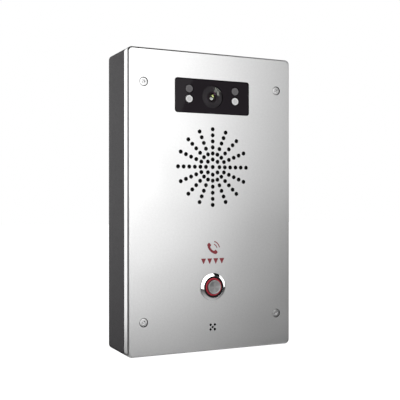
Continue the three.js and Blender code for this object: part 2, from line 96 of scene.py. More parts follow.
WINDOW_WIDTH = 61.0
WINDOW_HEIGHT = 25.2
WINDOW_CORNER = 2.0
PANE_GAP = 0.4
LIGHT_RADIUS = 2.75
LENS_RADIUS = 8.3
LENS_BARREL = 4.0
SOUND_RAYS = 16
SOUND_STEPS = 6
SOUND_FIRST = 5.59
SOUND_PITCH = 4.48
SOUND_RADIUS = 1.5
MICROPHONE_SPACING = 1.72
MICROPHONE_HOLE = 0.86
BEZEL_RADIUS = 10.2
BEZEL_HEIGHT = 1.95
BARREL_RADIUS = 9.2
SLEEVE_RADIUS = 8.0
LAMP_RADIUS = 6.5
CAP_RADIUS = 5.25
CAP_FLANGE = 6.2
SCREW_HEAD = 2.95
SCREW_RECESS = 3.2
SCREW_HOLE = 2.4
WALL_HOLES = [(x, z) for x in (-40, 40) for z in (-97, 97)]
BOARD_SCREWS = [centre(f"board_screw_{i}") for i in (1, 2, 3, 4)]


# ---- camera ----------------------------------------------------------------------------------
def add_camera():
    data = bpy.data.cameras.new("photo_camera")
    data.sensor_width = 36.0
    data.lens = 67.62
    data.clip_start, data.clip_end = 0.01, 50.0
    camera = bpy.data.objects.new("photo_camera", data)
    camera.location = Vector((-245.9, -540.5, 1.5)) * MM
    camera.rotation_euler = (math.radians(90), 0, math.radians(-25.286))
    bpy.context.scene.collection.objects.link(camera)
    bpy.context.scene.camera = camera


add_camera()


# ---- node helpers ----------------------------------------------------------------------------
class Nodes:
    """Short way to write a material's node tree."""

    def __init__(self, name):
        self.material = bpy.data.materials.new(name)
        self.material.use_nodes = True
        self.tree = self.material.node_tree
        self.shader = self.tree.nodes["Principled BSDF"]
        self.place = self.tree.nodes.new("ShaderNodeTexCoord").outputs["Object"]

    def add(self, kind, settings=None, **inputs):
        node = self.tree.nodes.new(kind)
        for key, value in (settings or {}).items():
            setattr(node, key, value)
        for key, value in inputs.items():
            self.feed(node, key.replace("_", " "), value)
        return node

    def feed(self, node, key, value):
        socket = node.inputs[int(key) if key.isdigit() else key]
        if isinstance(value, bpy.types.NodeSocket):
            self.tree.links.new(value, socket)
        else:
            socket.default_value = value

    def set(self, **inputs):
        for key, value in inputs.items():
            self.feed(self.shader, key.replace("_", " "), value)

    def noise(self, scale, detail):
        """Noise with a cell about 1 / scale metres wide."""
        return self.add("ShaderNodeTexNoise", Vector=self.place, Scale=scale, Detail=detail).outputs["Fac"]

    def between(self, value, low, high, start=0.0, end=1.0):
        """Maps value from start..end to low..high."""
        node = self.add("ShaderNodeMapRange", Value=value)
        for key, number in (("From Min", start), ("From Max", end), ("To Min", low), ("To Max", high)):
            node.inputs[key].default_value = number
        return node.outputs[0]

    def ramp(self, value, *stops):
        """Colour ramp of (place, colour) stops."""
        node = self.add("ShaderNodeValToRGB", Fac=value)
        ramp = node.color_ramp
        while len(ramp.elements) < len(stops):
            ramp.elements.new(0.5)
        for element, (place, colour) in zip(ramp.elements, stops):
            element.position = place
            element.color = (*colour, 1)
        return node.outputs["Color"]

    def mix(self, share, low, high):
        node = self.add("ShaderNodeMix", {"data_type": "RGBA"}, Factor=share)
        self.feed(node, "6", low)
        self.feed(node, "7", high)
        return node.outputs[2]

    def math(self, operation, *values):
        node = self.add("ShaderNodeMath", {"operation": operation})
        for i, value in enumerate(values):
            self.feed(node, str(i), value)
        return node.outputs[0]

    def turned(self):
        """The object's coordinates with its face, x and z, laid onto x and y."""
        return self.add("ShaderNodeMapping", Vector=self.place, Rotation=(math.radians(90), 0, 0)).outputs[0]

    def radius(self):
        """Distance from the object's own y axis, in millimetres."""
        parts = self.add("ShaderNodeSeparateXYZ", Vector=self.place)
        flat = self.add("ShaderNodeCombineXYZ", X=parts.outputs["X"], Z=parts.outputs["Z"])
        length = self.add("ShaderNodeVectorMath", {"operation": "LENGTH"})
        self.tree.links.new(flat.outputs[0], length.inputs[0])
        return self.math("MULTIPLY", length.outputs["Value"], 1 / MM)

    def bump(self, height, depth):
        """depth is how far full height stands out, in metres."""
        node = self.add("ShaderNodeBump", Height=height, Distance=depth, Strength=1.0)
        self.set(Normal=node.outputs[0])


def grey(value, tint=(1, 1, 1)):
    """A grey, or a tint made that much darker or lighter."""
    return tuple(value * share for share in tint)


# ---- materials -------------------------------------------------------------------------------
def satin_steel(name, colour, roughness, grain):
    """Stainless sheet with a fine blasted grain and faint smears."""
    n = Nodes(name)
    fine = n.noise(grain, 3)
    speckle = n.noise(620, 2)
    smears = n.noise(22, 2)
    n.set(Metallic=1.0)
    tone = n.math("ADD", n.between(fine, -0.3, 0.3, 0.3, 0.7), n.between(speckle, -0.2, 0.2, 0.3, 0.7))
    n.set(Base_Color=n.ramp(n.math("ADD", tone, 0.5), (0, grey(colour * 0.95)), (1, grey(colour * 1.05))))
    rough = n.math("ADD", n.between(smears, -0.02, 0.02, 0.3, 0.7), n.between(fine, -0.03, 0.03, 0.3, 0.7))
    n.set(Roughness=n.math("ADD", rough, roughness))
    n.bump(fine, 0.000002)
    return n.material


def powder_coat(name, colour, roughness, gloss=0.5):
    """Textured powder coat: small round pimples with slightly varied tone."""
    n = Nodes(name)
    pimples = n.noise(1900, 2)
    patches = n.noise(60, 3)
    tone = n.math("ADD", n.math("MULTIPLY", pimples, 0.6), n.math("MULTIPLY", patches, 0.4))
    n.set(Base_Color=n.ramp(tone, (0.3, grey(0.82, colour)), (0.7, grey(1.15, colour))),
          Roughness=n.between(pimples, roughness - 0.06, roughness + 0.08, 0.3, 0.7),
          Specular_IOR_Level=gloss)
    n.bump(pimples, 0.00003)
    return n.material


def polished_steel(name):
    """Mirror polish with a trace of haze."""
    n = Nodes(name)
    haze = n.noise(140, 3)
    n.set(Metallic=1.0, Base_Color=n.ramp(haze, (0.3, grey(0.80)), (0.7, grey(0.86))),
          Roughness=n.between(haze, 0.035, 0.075, 0.3, 0.7))
    return n.material


def turned_steel(name):
    """Faced on a lathe: fine rings about the object's own axis, crossed by four brighter rays that are a
    painted highlight in the base colour, with a light rim that is a painted highlight of the edge."""
    colour, roughness, pitch = 0.34, 0.36, 0.22
    n = Nodes(name)
    radius = n.radius()
    parts = n.add("ShaderNodeSeparateXYZ", Vector=n.place)
    angle = n.math("ARCTAN2", parts.outputs["Z"], parts.outputs["X"])
    # Painted highlight: four brighter rays across the face stand in for the highlights of the turned rings,
    # and fade outwards.
    painted_ray_highlights = n.math("POWER", n.between(n.math("COSINE", n.math("MULTIPLY", angle, 4.0)), 0, 1, -1, 1), 2.0)
    rings = n.math("SINE", n.math("MULTIPLY", radius, 2 * math.pi / pitch))
    painted_ray_highlights = n.math("MULTIPLY", painted_ray_highlights, n.between(radius, 0.5, 0.2, 0, 4.3))
    # Painted highlight: a light ring near the edge of the face, in the base colour, stands in for the edge
    # catching light.
    rim = n.between(radius, 0, 0.5, 4.1, 4.5)
    tone = n.math("ADD", n.math("ADD", painted_ray_highlights, n.between(rings, 0, 0.15, -1, 1)), rim)
    blur = n.noise(700, 2)
    tangent = n.add("ShaderNodeTangent", {"direction_type": "RADIAL", "axis": "Y"})
    n.set(Metallic=1.0, Anisotropic=0.2, Tangent=tangent.outputs[0])
    n.set(Base_Color=n.ramp(tone, (0, grey(colour * 0.75)), (1, grey(colour * 1.4))))
    n.set(Roughness=n.between(blur, roughness - 0.03, roughness + 0.03, 0.3, 0.7))
    n.bump(rings, 0.0000008)
    return n.material


def plated_steel(name):
    """Zinc plate: bright spangle under a dull grey bloom."""
    n = Nodes(name)
    spangle = n.add("ShaderNodeTexVoronoi", Vector=n.place, Scale=700).outputs["Color"]
    clouds = n.noise(180, 3)
    n.set(Metallic=1.0, Base_Color=n.mix(n.between(clouds, 0.0, 0.25), (0.52, 0.53, 0.55, 1), spangle),
          Roughness=n.between(clouds, 0.28, 0.46, 0.3, 0.7))
    n.bump(clouds, 0.00001)
    return n.material


def moulded(name, colour, roughness, gloss=0.5, lift=1.25):
    """Moulded plastic or rubber with a fine spark-eroded texture. lift lightens its broad patches."""
    n = Nodes(name)
    fine = n.noise(1700, 3)
    broad = n.noise(90, 2)
    dark, light = (*grey(0.85, colour), 1), (*grey(lift, colour), 1)
    n.set(Base_Color=n.mix(n.between(broad, 0, 1, 0.3, 0.7), dark, light), Specular_IOR_Level=gloss,
          Roughness=n.between(fine, roughness - 0.07, roughness + 0.07, 0.3, 0.7))
    n.bump(fine, 0.000012)
    return n.material


def gloss_black(name):
    """Polished black acrylic, coated against glare, with the faint haze of handling."""
    n = Nodes(name)
    haze = n.noise(45, 4)
    n.set(Base_Color=n.ramp(haze, (0.3, (0.0215, 0.0168, 0.0215)), (0.7, (0.0245, 0.0192, 0.0245))),
          Roughness=n.between(haze, 0.01, 0.03, 0.35, 0.65), Specular_IOR_Level=0.1)
    return n.material


def cover_glass(name):
    """Thin clear glass: nearly all of what is behind it shows."""
    n = Nodes(name)
    haze = n.noise(300, 2)
    n.set(Base_Color=n.ramp(haze, (0.3, (0.02, 0.02, 0.022)), (0.7, (0.03, 0.03, 0.033))),
          Roughness=n.between(haze, 0.0, 0.02, 0.3, 0.7), Alpha=0.16, IOR=1.5)
    return n.material


def coated_black(name, tint, level, roughness, base):
    """Dark optical part with an anti-reflection coat that tints what it mirrors."""
    n = Nodes(name)
    haze = n.noise(420, 3)
    n.set(Base_Color=n.ramp(haze, (0.3, grey(base)), (0.7, grey(base * 1.3))), Specular_IOR_Level=level,
          Specular_Tint=(*tint, 1), Roughness=n.between(haze, roughness - 0.02, roughness + 0.02, 0.3, 0.7))
    return n.material


def frosted(name, colour, core, specular):
    """Light pipe with a clear rim and a core of fine square diffusing cells."""
    n = Nodes(name)
    cells = n.add("ShaderNodeTexBrick", {"offset": 0.0}, Vector=n.turned(), Scale=1000, Brick_Width=0.7,
                  Row_Height=0.7, Mortar_Size=0.08).outputs["Fac"]
    inside = n.between(n.radius(), 1, 0, 1.5, 2.1)
    cloud = n.noise(500, 2)
    shade = n.math("MULTIPLY", inside, n.between(cells, 0.7, 1.0))
    n.set(Base_Color=n.mix(shade, (*colour, 1), (*grey(core, colour), 1)),
          Roughness=n.between(cloud, 0.25, 0.4, 0.3, 0.7), Specular_IOR_Level=specular)
    n.bump(n.math("MULTIPLY", cells, inside), 0.00003)
    return n.material


def lamp_red(name):
    """Red acrylic with a cloudy depth of colour."""
    n = Nodes(name)
    cloud = n.noise(260, 3)
    n.set(Base_Color=n.ramp(cloud, (0.3, (0.46, 0.028, 0.046)), (0.7, (0.56, 0.042, 0.064))),
          Roughness=n.between(cloud, 0.25, 0.35, 0.3, 0.7), Specular_IOR_Level=0.3)
    return n.material


def red_ink(name):
    """Screen-printed ink: a little uneven, with the print mesh showing."""
    n = Nodes(name)
    spread = n.noise(2200, 3)
    n.set(Base_Color=n.ramp(spread, (0.3, (0.19, 0.012, 0.02)), (0.7, (0.27, 0.022, 0.032))),
          Roughness=n.between(spread, 0.42, 0.6, 0.3, 0.7))
    n.bump(spread, 0.000006)
    return n.material


def laminate(name):
    """Green solder mask over copper traces."""
    n = Nodes(name)
    traces = n.add("ShaderNodeTexBrick", {"offset": 0.5}, Vector=n.place, Scale=260, Mortar_Size=0.03)
    weave = n.noise(1500, 2)
    n.set(Base_Color=n.mix(traces.outputs["Fac"], (0.012, 0.085, 0.03, 1), (0.03, 0.16, 0.06, 1)),
          Roughness=n.between(weave, 0.3, 0.45, 0.3, 0.7), Coat_Weight=0.3)
    n.bump(traces.outputs["Fac"], 0.00003)
    return n.material


def woven_black(name):
    """Fine water-repellent cloth of the acoustic membrane and the pressed speaker paper."""
    n = Nodes(name)
    warp = n.add("ShaderNodeTexWave", {"bands_direction": "X"}, Vector=n.place, Scale=900)
    weft = n.add("ShaderNodeTexWave", {"bands_direction": "Z"}, Vector=n.place, Scale=900)
    cloth = n.math("MULTIPLY", warp.outputs["Fac"], weft.outputs["Fac"])
    n.set(Base_Color=n.ramp(cloth, (0.1, (0.003, 0.003, 0.003)), (0.9, (0.007, 0.007, 0.007))),
          Roughness=0.8, Specular_IOR_Level=0.2)
    n.bump(cloth, 0.00005)
    return n.material


def tinned_brass(name):
    """Yellow brass with thin patches of tin."""
    n = Nodes(name)
    clouds = n.noise(400, 3)
    n.set(Metallic=1.0, Base_Color=n.ramp(clouds, (0.3, (0.55, 0.38, 0.12)), (0.7, (0.68, 0.52, 0.22))),
          Roughness=n.between(clouds, 0.25, 0.4, 0.3, 0.7))
    return n.material


STEEL = satin_steel("satin_steel", 0.62, 0.33, 1500)
SCREW_STEEL = satin_steel("screw_steel", 0.58, 0.3, 3200)
CHARCOAL = powder_coat("charcoal_coat", (0.0245, 0.0205, 0.0245), 0.6, 0.25)
CHROME = polished_steel("polished_steel")
# Cap steel: turned rings, with painted highlights of four rays and a light rim.
TURNED_AND_PAINTED_HIGHLIGHTS = turned_steel("turned_steel")
ZINC = plated_steel("zinc_steel")
RUBBER = moulded("black_rubber", (0.018, 0.017, 0.018), 0.72)
PLASTIC = moulded("black_plastic", (0.012, 0.012, 0.013), 0.42)
LINER = moulded("button_black", (0.006, 0.0065, 0.007), 0.6, 0.15)
# Painted shade: a near-black material for the walls of holes cut into the steel cover and the window pane,
# standing in for the shade inside them.
HOLE_SHADE_BLACK = moulded("painted_hole_shade", (0.006, 0.006, 0.006), 0.6, 0.1)
SHROUD = moulded("lens_shroud", (0.052, 0.045, 0.052), 0.6, 0.2, 1.1)
BARREL = coated_black("lens_barrel_coat", (1.0, 0.42, 0.85), 0.5, 0.1, 0.024)
WINDOW_BLACK = gloss_black("black_window")
LENS_CLEAR = cover_glass("lens_glass")
INNER_LENS = coated_black("inner_lens_coat", (0.9, 1.0, 0.92), 0.6, 0.05, 0.006)
LAMP_WHITE = frosted("lamp_diffuser", (0.83, 0.83, 0.83), 0.74, 0.2)
SMOKED = frosted("smoked_window", (0.153, 0.147, 0.153), 0.9, 0.1)
RED = lamp_red("signal_red")
INK = red_ink("red_ink")
BOARD = laminate("circuit_laminate")
CHIP = moulded("chip_black", (0.02, 0.02, 0.022), 0.5)
GREEN = moulded("green_plastic", (0.03, 0.26, 0.10), 0.45)
CLOTH = woven_black("speaker_paper")
BRASS = tinned_brass("brass")
BLACK_METAL = powder_coat("black_metal", (0.03, 0.03, 0.031), 0.4)


# ---- mesh helpers ----------------------------------------------------------------------------
def make(name, points, faces, material, body=CASE, origin=(0, 0, 0)):
    """Mesh object from points in millimetres, with its faces turned outward. origin is the place
    of its own axes."""
    mesh = bpy.data.meshes.new(name)
    shift = Vector(origin)
    mesh.from_pydata([(Vector(p) - shift) * MM for p in points], [], faces)
    work = bmesh.new()
    work.from_mesh(mesh)
    bmesh.ops.recalc_face_normals(work, faces=work.faces)
    work.to_mesh(mesh)
    work.free()
    piece = bpy.data.objects.new(name, mesh)
    piece.location = shift * MM
    bpy.context.scene.collection.objects.link(piece)
    mesh.materials.append(material)
    if body:
        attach(piece, body)
    return piece


def smooth(piece, angle=40):
    """Smooth shading that breaks at sharp edges and stays flat on the large faces."""
    for polygon in piece.data.polygons:
        polygon.use_smooth = True
    piece.data.set_sharp_from_angle(angle=math.radians(angle))
    weighted = piece.modifiers.new("weighted_normals", "WEIGHTED_NORMAL")
    weighted.keep_sharp = True
    return piece


def softened(profile, radius, steps=3, closed=False):
    """The profile with each corner turned into an arc of that radius, or less on short sides."""
    count = len(profile)
    out = []
    for i, point in enumerate(profile):
        here = Vector(point)
        if not closed and i in (0, count - 1):
            out.append(tuple(here))
            continue
        before, after = Vector(profile[i - 1]), Vector(profile[(i + 1) % count])
        back, ahead = before - here, after - here
        half = back.angle(ahead) / 2
        if half > math.radians(85):
            out.append(tuple(here))
            continue
        reach = min(radius / math.tan(half), 0.45 * back.length, 0.45 * ahead.length)
        start, end = here + back.normalized() * reach, here + ahead.normalized() * reach
        for k in range(steps + 1):
            t = k / steps
            out.append(tuple(start * (1 - t) ** 2 + here * 2 * t * (1 - t) + end * t ** 2))
    return out


def lathe_mesh(profile, at, segments):
    """Points and faces of a profile of (radius, y) turned about y through at = (x, z)."""
    points, rings, faces = [], [], []
    for radius, y in profile:
        if radius < 1e-6:
            rings.append([len(points)] * segments)
            points.append((at[0], y, at[1]))
            continue
        rings.append(list(range(len(points), len(points) + segments)))
        for k in range(segments):
            turn = 2 * math.pi * k / segments
            points.append((at[0] + radius * math.cos(turn), y, at[1] + radius * math.sin(turn)))
    loop = list(zip(rings, rings[1:] + rings[:1]))
    if profile[0][0] < 1e-6 and profile[-1][0] < 1e-6:
        loop = loop[:-1]
    for near, far in loop:
        for k in range(segments):
            corners = (near[k], near[(k + 1) % segments], far[(k + 1) % segments], far[k])
            face = [c for i, c in enumerate(corners) if c != corners[i - 1]]
            if len(face) > 2:
                faces.append(face)
    return points, faces


def turned_piece(name, profile, at, material, body=CASE, segments=96, soft=0.12):
    """Solid turned about y through at = (x, z), with softened edges."""
    closed = profile[0][0] > 1e-6
    rounded = softened(profile, soft, closed=closed)
    points, faces = lathe_mesh(rounded, at, segments)
    middle = sum(y for _, y in rounded) / len(rounded)
    return make(name, points, faces, material, body, (at[0], middle, at[1]))


def lathe(*about, **more):
    """Turned piece in its finished state, smooth shaded."""
    return smooth(turned_piece(*about, **more))


def rounded_rectangle(width, height, radius):
    """Outline points (x, z), anticlockwise seen from the front."""
    steps = 8
    x, z = width / 2 - radius, height / 2 - radius
    points = []
    for quarter, (sx, sz) in enumerate(((1, 1), (-1, 1), (-1, -1), (1, -1))):
        for k in range(steps + 1):
            turn = math.pi / 2 * (quarter + k / steps)
            points.append((sx * x + radius * math.cos(turn), sz * z + radius * math.sin(turn)))
    return points


def sleeve_mesh(profile, width, height, corner, at=(0, 0), capped=True):
    """Profile of (inset, y) carried round a rounded rectangle. Capped at both ends, or closed on itself."""
    least = 0.4
    points, faces, rings = [], [], []
    for inset, y in profile:
        radius = max(corner - inset, least)
        ring = rounded_rectangle(width - 2 * inset, height - 2 * inset, radius)
        rings.append(range(len(points), len(points) + len(ring)))
        points += [(at[0] + x, y, at[1] + z) for x, z in ring]
    count = len(rings[0])
    pairs = list(zip(rings, rings[1:]))
    if not capped:
        pairs.append((rings[-1], rings[0]))
    for near, far in pairs:
        for k in range(count):
            after = (k + 1) % count
            faces.append((near[k], far[k], far[after], near[after]))
    if capped:
        faces.append(tuple(rings[0]))
        faces.append(tuple(reversed(rings[-1])))
    return points, faces


def prism(outline, near, far):
    """Points and faces of an outline of (x, z) points between two places in y."""
    count = len(outline)
    points = [(x, y, z) for y in (near, far) for x, z in outline]
    faces = [tuple(range(count)), tuple(reversed(range(count, 2 * count)))]
    faces += [(k, count + k, count + (k + 1) % count, (k + 1) % count) for k in range(count)]
    return points, faces


def joined(parts):
    """Several (points, faces) as one."""
    points, faces = [], []
    for more, made in parts:
        faces += [tuple(i + len(points) for i in face) for face in made]
        points += more
    return points, faces


def apply_boolean(piece, operation, parts, material):
    """Cuts or joins a set of closed (points, faces) solids that don't touch each other. The new faces
    take the material."""
    tool = make("tool", *joined(parts), material, None)
    modifier = piece.modifiers.new("boolean", "BOOLEAN")
    modifier.operation = operation
    modifier.solver = "EXACT"
    modifier.material_mode = "TRANSFER"
    modifier.object = tool
    graph = bpy.context.evaluated_depsgraph_get()
    mesh = bpy.data.meshes.new_from_object(piece.evaluated_get(graph))
    piece.modifiers.remove(modifier)
    old = piece.data
    piece.data = mesh
    mesh.name = piece.name
    bpy.data.meshes.remove(old)
    bpy.data.objects.remove(tool)


def turned_cutter(radius, near, far, at, flare=0.06, segments=32):
    """Round cutter from near to far, opening out by flare where it meets the surface at near."""
    profile = [(0, near - 1), (radius + flare, near - 1), (radius + flare, near), (radius, near + flare),
               (radius, far), (0, far)]
    return lathe_mesh(profile, at, segments)


def sleeve_cutter(width, height, corner, near, far, at, flare=0.05):
    """Rounded rectangular cutter, opening out where it meets the surface at near."""
    profile = [(-flare, near - 1), (-flare, near), (0, near + flare), (0, far)]
    return sleeve_mesh(profile, width, height, corner, at)


# ---- front cover -----------------------------------------------------------------------------
def sound_places():
    places = [(0.0, 0.0)]
    for ray in range(SOUND_RAYS):
        turn = 2 * math.pi * ray / SOUND_RAYS
        for step in range(ray % 2, SOUND_STEPS):
            radius = SOUND_FIRST + step * SOUND_PITCH
            places.append((radius * math.cos(turn), radius * math.sin(turn)))
    return [(SPEAKER.x + x, SPEAKER.z + z) for x, z in places]


def microphone_places():
    a = MICROPHONE_SPACING
    return [(MICROPHONE.x + x, MICROPHONE.z + z) for x, z in ((0, 0), (-a, a), (a, a), (-a, -a), (a, -a))]


def front_cover():
    rim = FRONT + COVER_DEPTH
    inside = FRONT + COVER_WALL
    outer = softened([(COVER_CHAMFER * 2.2, FRONT), (COVER_CHAMFER, FRONT), (0, FRONT + COVER_CHAMFER),
                      (0, rim), (COVER_WALL, rim), (COVER_WALL, inside), (COVER_WALL * 2, inside)], 0.18)
    shell = make("cover_shell", *sleeve_mesh(outer, WIDTH, HEIGHT, CORNER), STEEL)
    through = inside + 1
    holes = [turned_cutter(SOUND_RADIUS, FRONT, through, at) for at in sound_places()]
    holes += [turned_cutter(MICROPHONE_HOLE, FRONT, through, at, 0.08, 20) for at in microphone_places()]
    holes.append(turned_cutter(BARREL_RADIUS + 0.4, FRONT, through, (BUTTON.x, BUTTON.z), 0.1, 96))
    holes.append(sleeve_cutter(WINDOW_WIDTH, WINDOW_HEIGHT, WINDOW_CORNER, FRONT, through,
                               (WINDOW.x, WINDOW.z)))
    flare = 0.08
    shelf = FRONT + 1.3
    profile = [(0, FRONT - 1), (SCREW_RECESS + flare, FRONT - 1), (SCREW_RECESS + flare, FRONT),
               (SCREW_RECESS, FRONT + flare), (SCREW_RECESS, shelf), (SCREW_HOLE, shelf),
               (SCREW_HOLE, through), (0, through)]
    holes += [lathe_mesh(profile, (screw.x, screw.z), 48) for screw in SCREWS]
    # The walls of the cover's holes and window opening take the near-black painted shade.
    apply_boolean(shell, "DIFFERENCE", holes, HOLE_SHADE_BLACK)
    smooth(shell)
    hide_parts("front_cover")


def cover_gasket():
    low, high = span("cover_gasket")
    width, height = high.x - low.x, high.z - low.z
    profile = softened([(0, low.y), (0, high.y), (2, high.y), (2, low.y)], 0.25, closed=True)
    ring = make("cover_seal", *sleeve_mesh(profile, width, height, 1.1, capped=False), RUBBER)
    smooth(ring)
    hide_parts("cover_gasket")


def cover_screws():
    """Flat tamper-proof heads with a six-lobed recess around a pin."""
    bore, lobe, lobes, steps = 1.45, 0.16, 6, 72
    recess_depth, pin_radius, pin_sink = 1.3, 0.5, 0.25
    turns = [2 * math.pi * k / steps for k in range(steps)]
    for i, screw in enumerate(SCREWS, 1):
        low, high = span(f"cover_screw_{i}")
        top = low.y
        at = (screw.x, screw.z)
        profile = [(0, top), (SCREW_HEAD - 0.2, top), (SCREW_HEAD, top + 0.2), (SCREW_HEAD, top + 0.6),
                   (2.0, top + 0.6), (2.0, high.y - 0.5), (1.5, high.y), (0, high.y)]
        piece = turned_piece(f"cover_screw_{i}_head", profile, at, SCREW_STEEL, soft=0.1)
        recess = []
        for turn in turns:
            reach = bore + lobe * math.cos(lobes * turn)
            recess.append((screw.x + reach * math.cos(turn), screw.z + reach * math.sin(turn)))
        bottom = top + recess_depth
        apply_boolean(piece, "DIFFERENCE", [prism(recess, top - 1, bottom)], SCREW_STEEL)
        tip, root = top + pin_sink, bottom + 0.3
        pin = [(0, tip), (pin_radius, tip), (pin_radius, root), (0, root)]
        apply_boolean(piece, "UNION", [lathe_mesh(softened(pin, 0.1), at, 24)], SCREW_STEEL)
        smooth(piece)
        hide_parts(f"cover_screw_{i}")


# ---- back box --------------------------------------------------------------------------------
def back_box():
    """Open tray with a gasket lip, screw posts, board bosses and wall holes."""
    low, high = BOX_LOW, BOX_HIGH
    rim = FRONT + COVER_DEPTH + GAP
    lip = COVER_WALL + GAP
    inner = lip + TONGUE_WALL
    tongue = rim - TONGUE_REACH
    outer = softened([(6, high.y), (0, high.y), (0, rim), (lip, rim), (lip, tongue), (inner, tongue),
                      (inner, -BOX_WALL), (inner + 3, -BOX_WALL)], 0.4)
    points, faces = sleeve_mesh(outer, high.x - low.x, high.z - low.z, CORNER)
    shell = make("box_shell", points, faces, CHARCOAL)

    boss_top = span("main_board")[1].y + GAP
    in_wall = -1
    post = softened([(0, low.y), (4.5, low.y), (4.5, in_wall), (0, in_wall)], 0.3)
    boss = softened([(0, boss_top), (3.5, boss_top), (3.5, in_wall), (0, in_wall)], 0.3)
    posts = [lathe_mesh(post, (screw.x, screw.z), 48) for screw in SCREWS]
    posts += [lathe_mesh(boss, (screw.x, screw.z), 32) for screw in BOARD_SCREWS]
    apply_boolean(shell, "UNION", posts, CHARCOAL)

    holes = [turned_cutter(2.3, low.y, -18, (screw.x, screw.z), 0.3) for screw in SCREWS]
    holes += [turned_cutter(1.5, boss_top, -3.5, (screw.x, screw.z), 0.2) for screw in BOARD_SCREWS]
    through = -BOX_WALL - 1
    wall_hole = [(0, 1), (4.2, 1), (4.2, 0), (2.4, -1.6), (2.4, through), (0, through)]
    holes += [lathe_mesh(wall_hole, at, 48) for at in WALL_HOLES]
    cable_way = [(0, 1), (13.3, 1), (13.3, -1.3), (10, -1.3), (10, through), (0, through)]
    holes.append(lathe_mesh(cable_way, (CABLE.x, CABLE.z), 96))
    apply_boolean(shell, "DIFFERENCE", holes, CHARCOAL)
    smooth(shell)
    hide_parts("back_box")


def cable_grommet():
    low, high = span("cable_grommet")
    near, far = low.y, high.y
    profile = [(6, far), (7, far), (7.5, far - 0.25), (12.2, far - 0.25), (13, far - 0.5), (13, far - 0.9),
               (9.7, far - 0.9), (9.7, near + 3), (12.5, near + 3), (12.5, near + 2), (9, near), (6, near)]
    ring = lathe("cable_gland", profile, (CABLE.x, CABLE.z), RUBBER, soft=0.25)
    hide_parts("cable_grommet")


# ---- camera ----------------------------------------------------------------------------------
LIGHTS = {"left_sensor": SMOKED, "right_sensor": SMOKED, "left_lamp": LAMP_WHITE, "right_lamp": LAMP_WHITE}


def camera_window():
    low, high = span("camera_window")
    front, back = low.y, high.y
    flange = back - 1.5
    side = ((high.x - low.x) - (WINDOW_WIDTH - 2 * PANE_GAP)) / 2
    outer = softened([(side + 4, front), (side + 0.3, front), (side, front + 0.3), (side, flange),
                      (0, flange), (0, back), (side, back)], 0.1)
    pane = make("window_pane", *sleeve_mesh(outer, high.x - low.x, high.z - low.z, side + WINDOW_CORNER,
                                            (WINDOW.x, WINDOW.z)), WINDOW_BLACK)
    holes = [turned_cutter(LENS_RADIUS + 0.1, front, back + 1, (LENS.x, LENS.z), 0.05, 96)]
    for name in LIGHTS:
        at = centre(f"{name}_window")
        holes.append(turned_cutter(LIGHT_RADIUS + 0.5, front, back + 1, (at.x, at.z), 0.05, 48))
    # The walls of the pane's holes take the near-black painted shade.
    apply_boolean(pane, "DIFFERENCE", holes, HOLE_SHADE_BLACK)
    smooth(pane)
    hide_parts("camera_window")


def light_windows():
    """Light pipes with a slightly domed face."""
    for name, material in LIGHTS.items():
        node = f"{name}_window"
        low, high = span(node)
        top, seat, back = low.y, high.y - 0.6, high.y
        radius = LIGHT_RADIUS if material is SMOKED else LIGHT_RADIUS - 0.12
        flange = LIGHT_RADIUS + 0.8
        profile = [*arc_profile(radius, 0.1, top, 10), (radius, seat), (flange, seat), (flange, back),
                   (0, back)]
        at = (centre(node).x, centre(node).z)
        piece = lathe(f"{name}_pipe", profile, at, material, segments=64, soft=0.05)
        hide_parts(node)


def arc_profile(radius, sag, y, steps):
    """Spherical cap as (radius, y) points, from the axis at y out to the rim, sag further back."""
    ball = (radius ** 2 + sag ** 2) / (2 * sag)
    reach = math.asin(radius / ball)
    leans = [reach * k / steps for k in range(steps + 1)]
    return [(ball * math.sin(t), y + ball * (1 - math.cos(t))) for t in leans]


def lens():
    at = (LENS.x, LENS.z)
    near = span("lens_glass")[0].y
    sag, thickness, well_radius = 0.4, 0.35, LENS_BARREL - 1.1
    outside = arc_profile(LENS_RADIUS, sag, near, 16)
    inside = arc_profile(LENS_RADIUS, sag, near + thickness, 16)
    glass = outside + inside[::-1]
    dome = lathe("lens_dome", glass, at, LENS_CLEAR, segments=128, soft=0.0001)
    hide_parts("lens_glass")

    near, far = span("lens_holder")[0].y, span("lens_holder")[1].y
    inner, seat = LENS_BARREL + 0.15, far - 1.2
    cone = [(inner, near), (LENS_RADIUS, near + 0.35), (LENS_RADIUS, seat), (LENS_RADIUS + 1.1, seat),
            (LENS_RADIUS + 1.1, far), (inner, far)]
    shroud = lathe("lens_cone", cone, at, SHROUD, segments=128, soft=0.04)
    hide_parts("lens_holder")

    near, far = span("lens_barrel")[0].y, span("lens_barrel")[1].y
    well = near + 1.8
    tube = [(0, well), (well_radius, well), (well_radius, near), (LENS_BARREL, near + 0.08),
            (LENS_BARREL, far), (0, far)]
    barrel = lathe("lens_tube", tube, at, BARREL, segments=96, soft=0.08)
    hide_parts("lens_barrel")

    near, far = span("inner_lens")[0].y, span("inner_lens")[1].y
    bead_radius = well_radius - 0.3
    bead = [*arc_profile(bead_radius, 0.9, near, 16), (bead_radius, far), (0, far)]
    inner_lens = lathe("lens_bead", bead, at, INNER_LENS, segments=96, soft=0.0001)
    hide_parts("inner_lens")


# ---- loudspeaker and microphone ---------------------------------------------------------------
def acoustic_parts():
    low, high = span("acoustic_membrane")
    disc = lathe("acoustic_cloth", [(0, low.y), (31, low.y), (31, high.y), (0, high.y)],
                 (SPEAKER.x, SPEAKER.z), CLOTH)
    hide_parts("acoustic_membrane")
    low, high = span("microphone_boot")
    near = low.y
    boot = [(3.1, near), (6.2, near), (6.5, near + 0.3), (6.5, high.y), (5.1, high.y), (5.1, near + 1.3),
            (3.1, near + 1.3)]
    piece = lathe("microphone_cup", boot, (MICROPHONE.x, MICROPHONE.z), RUBBER, segments=48)
    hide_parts("microphone_boot")


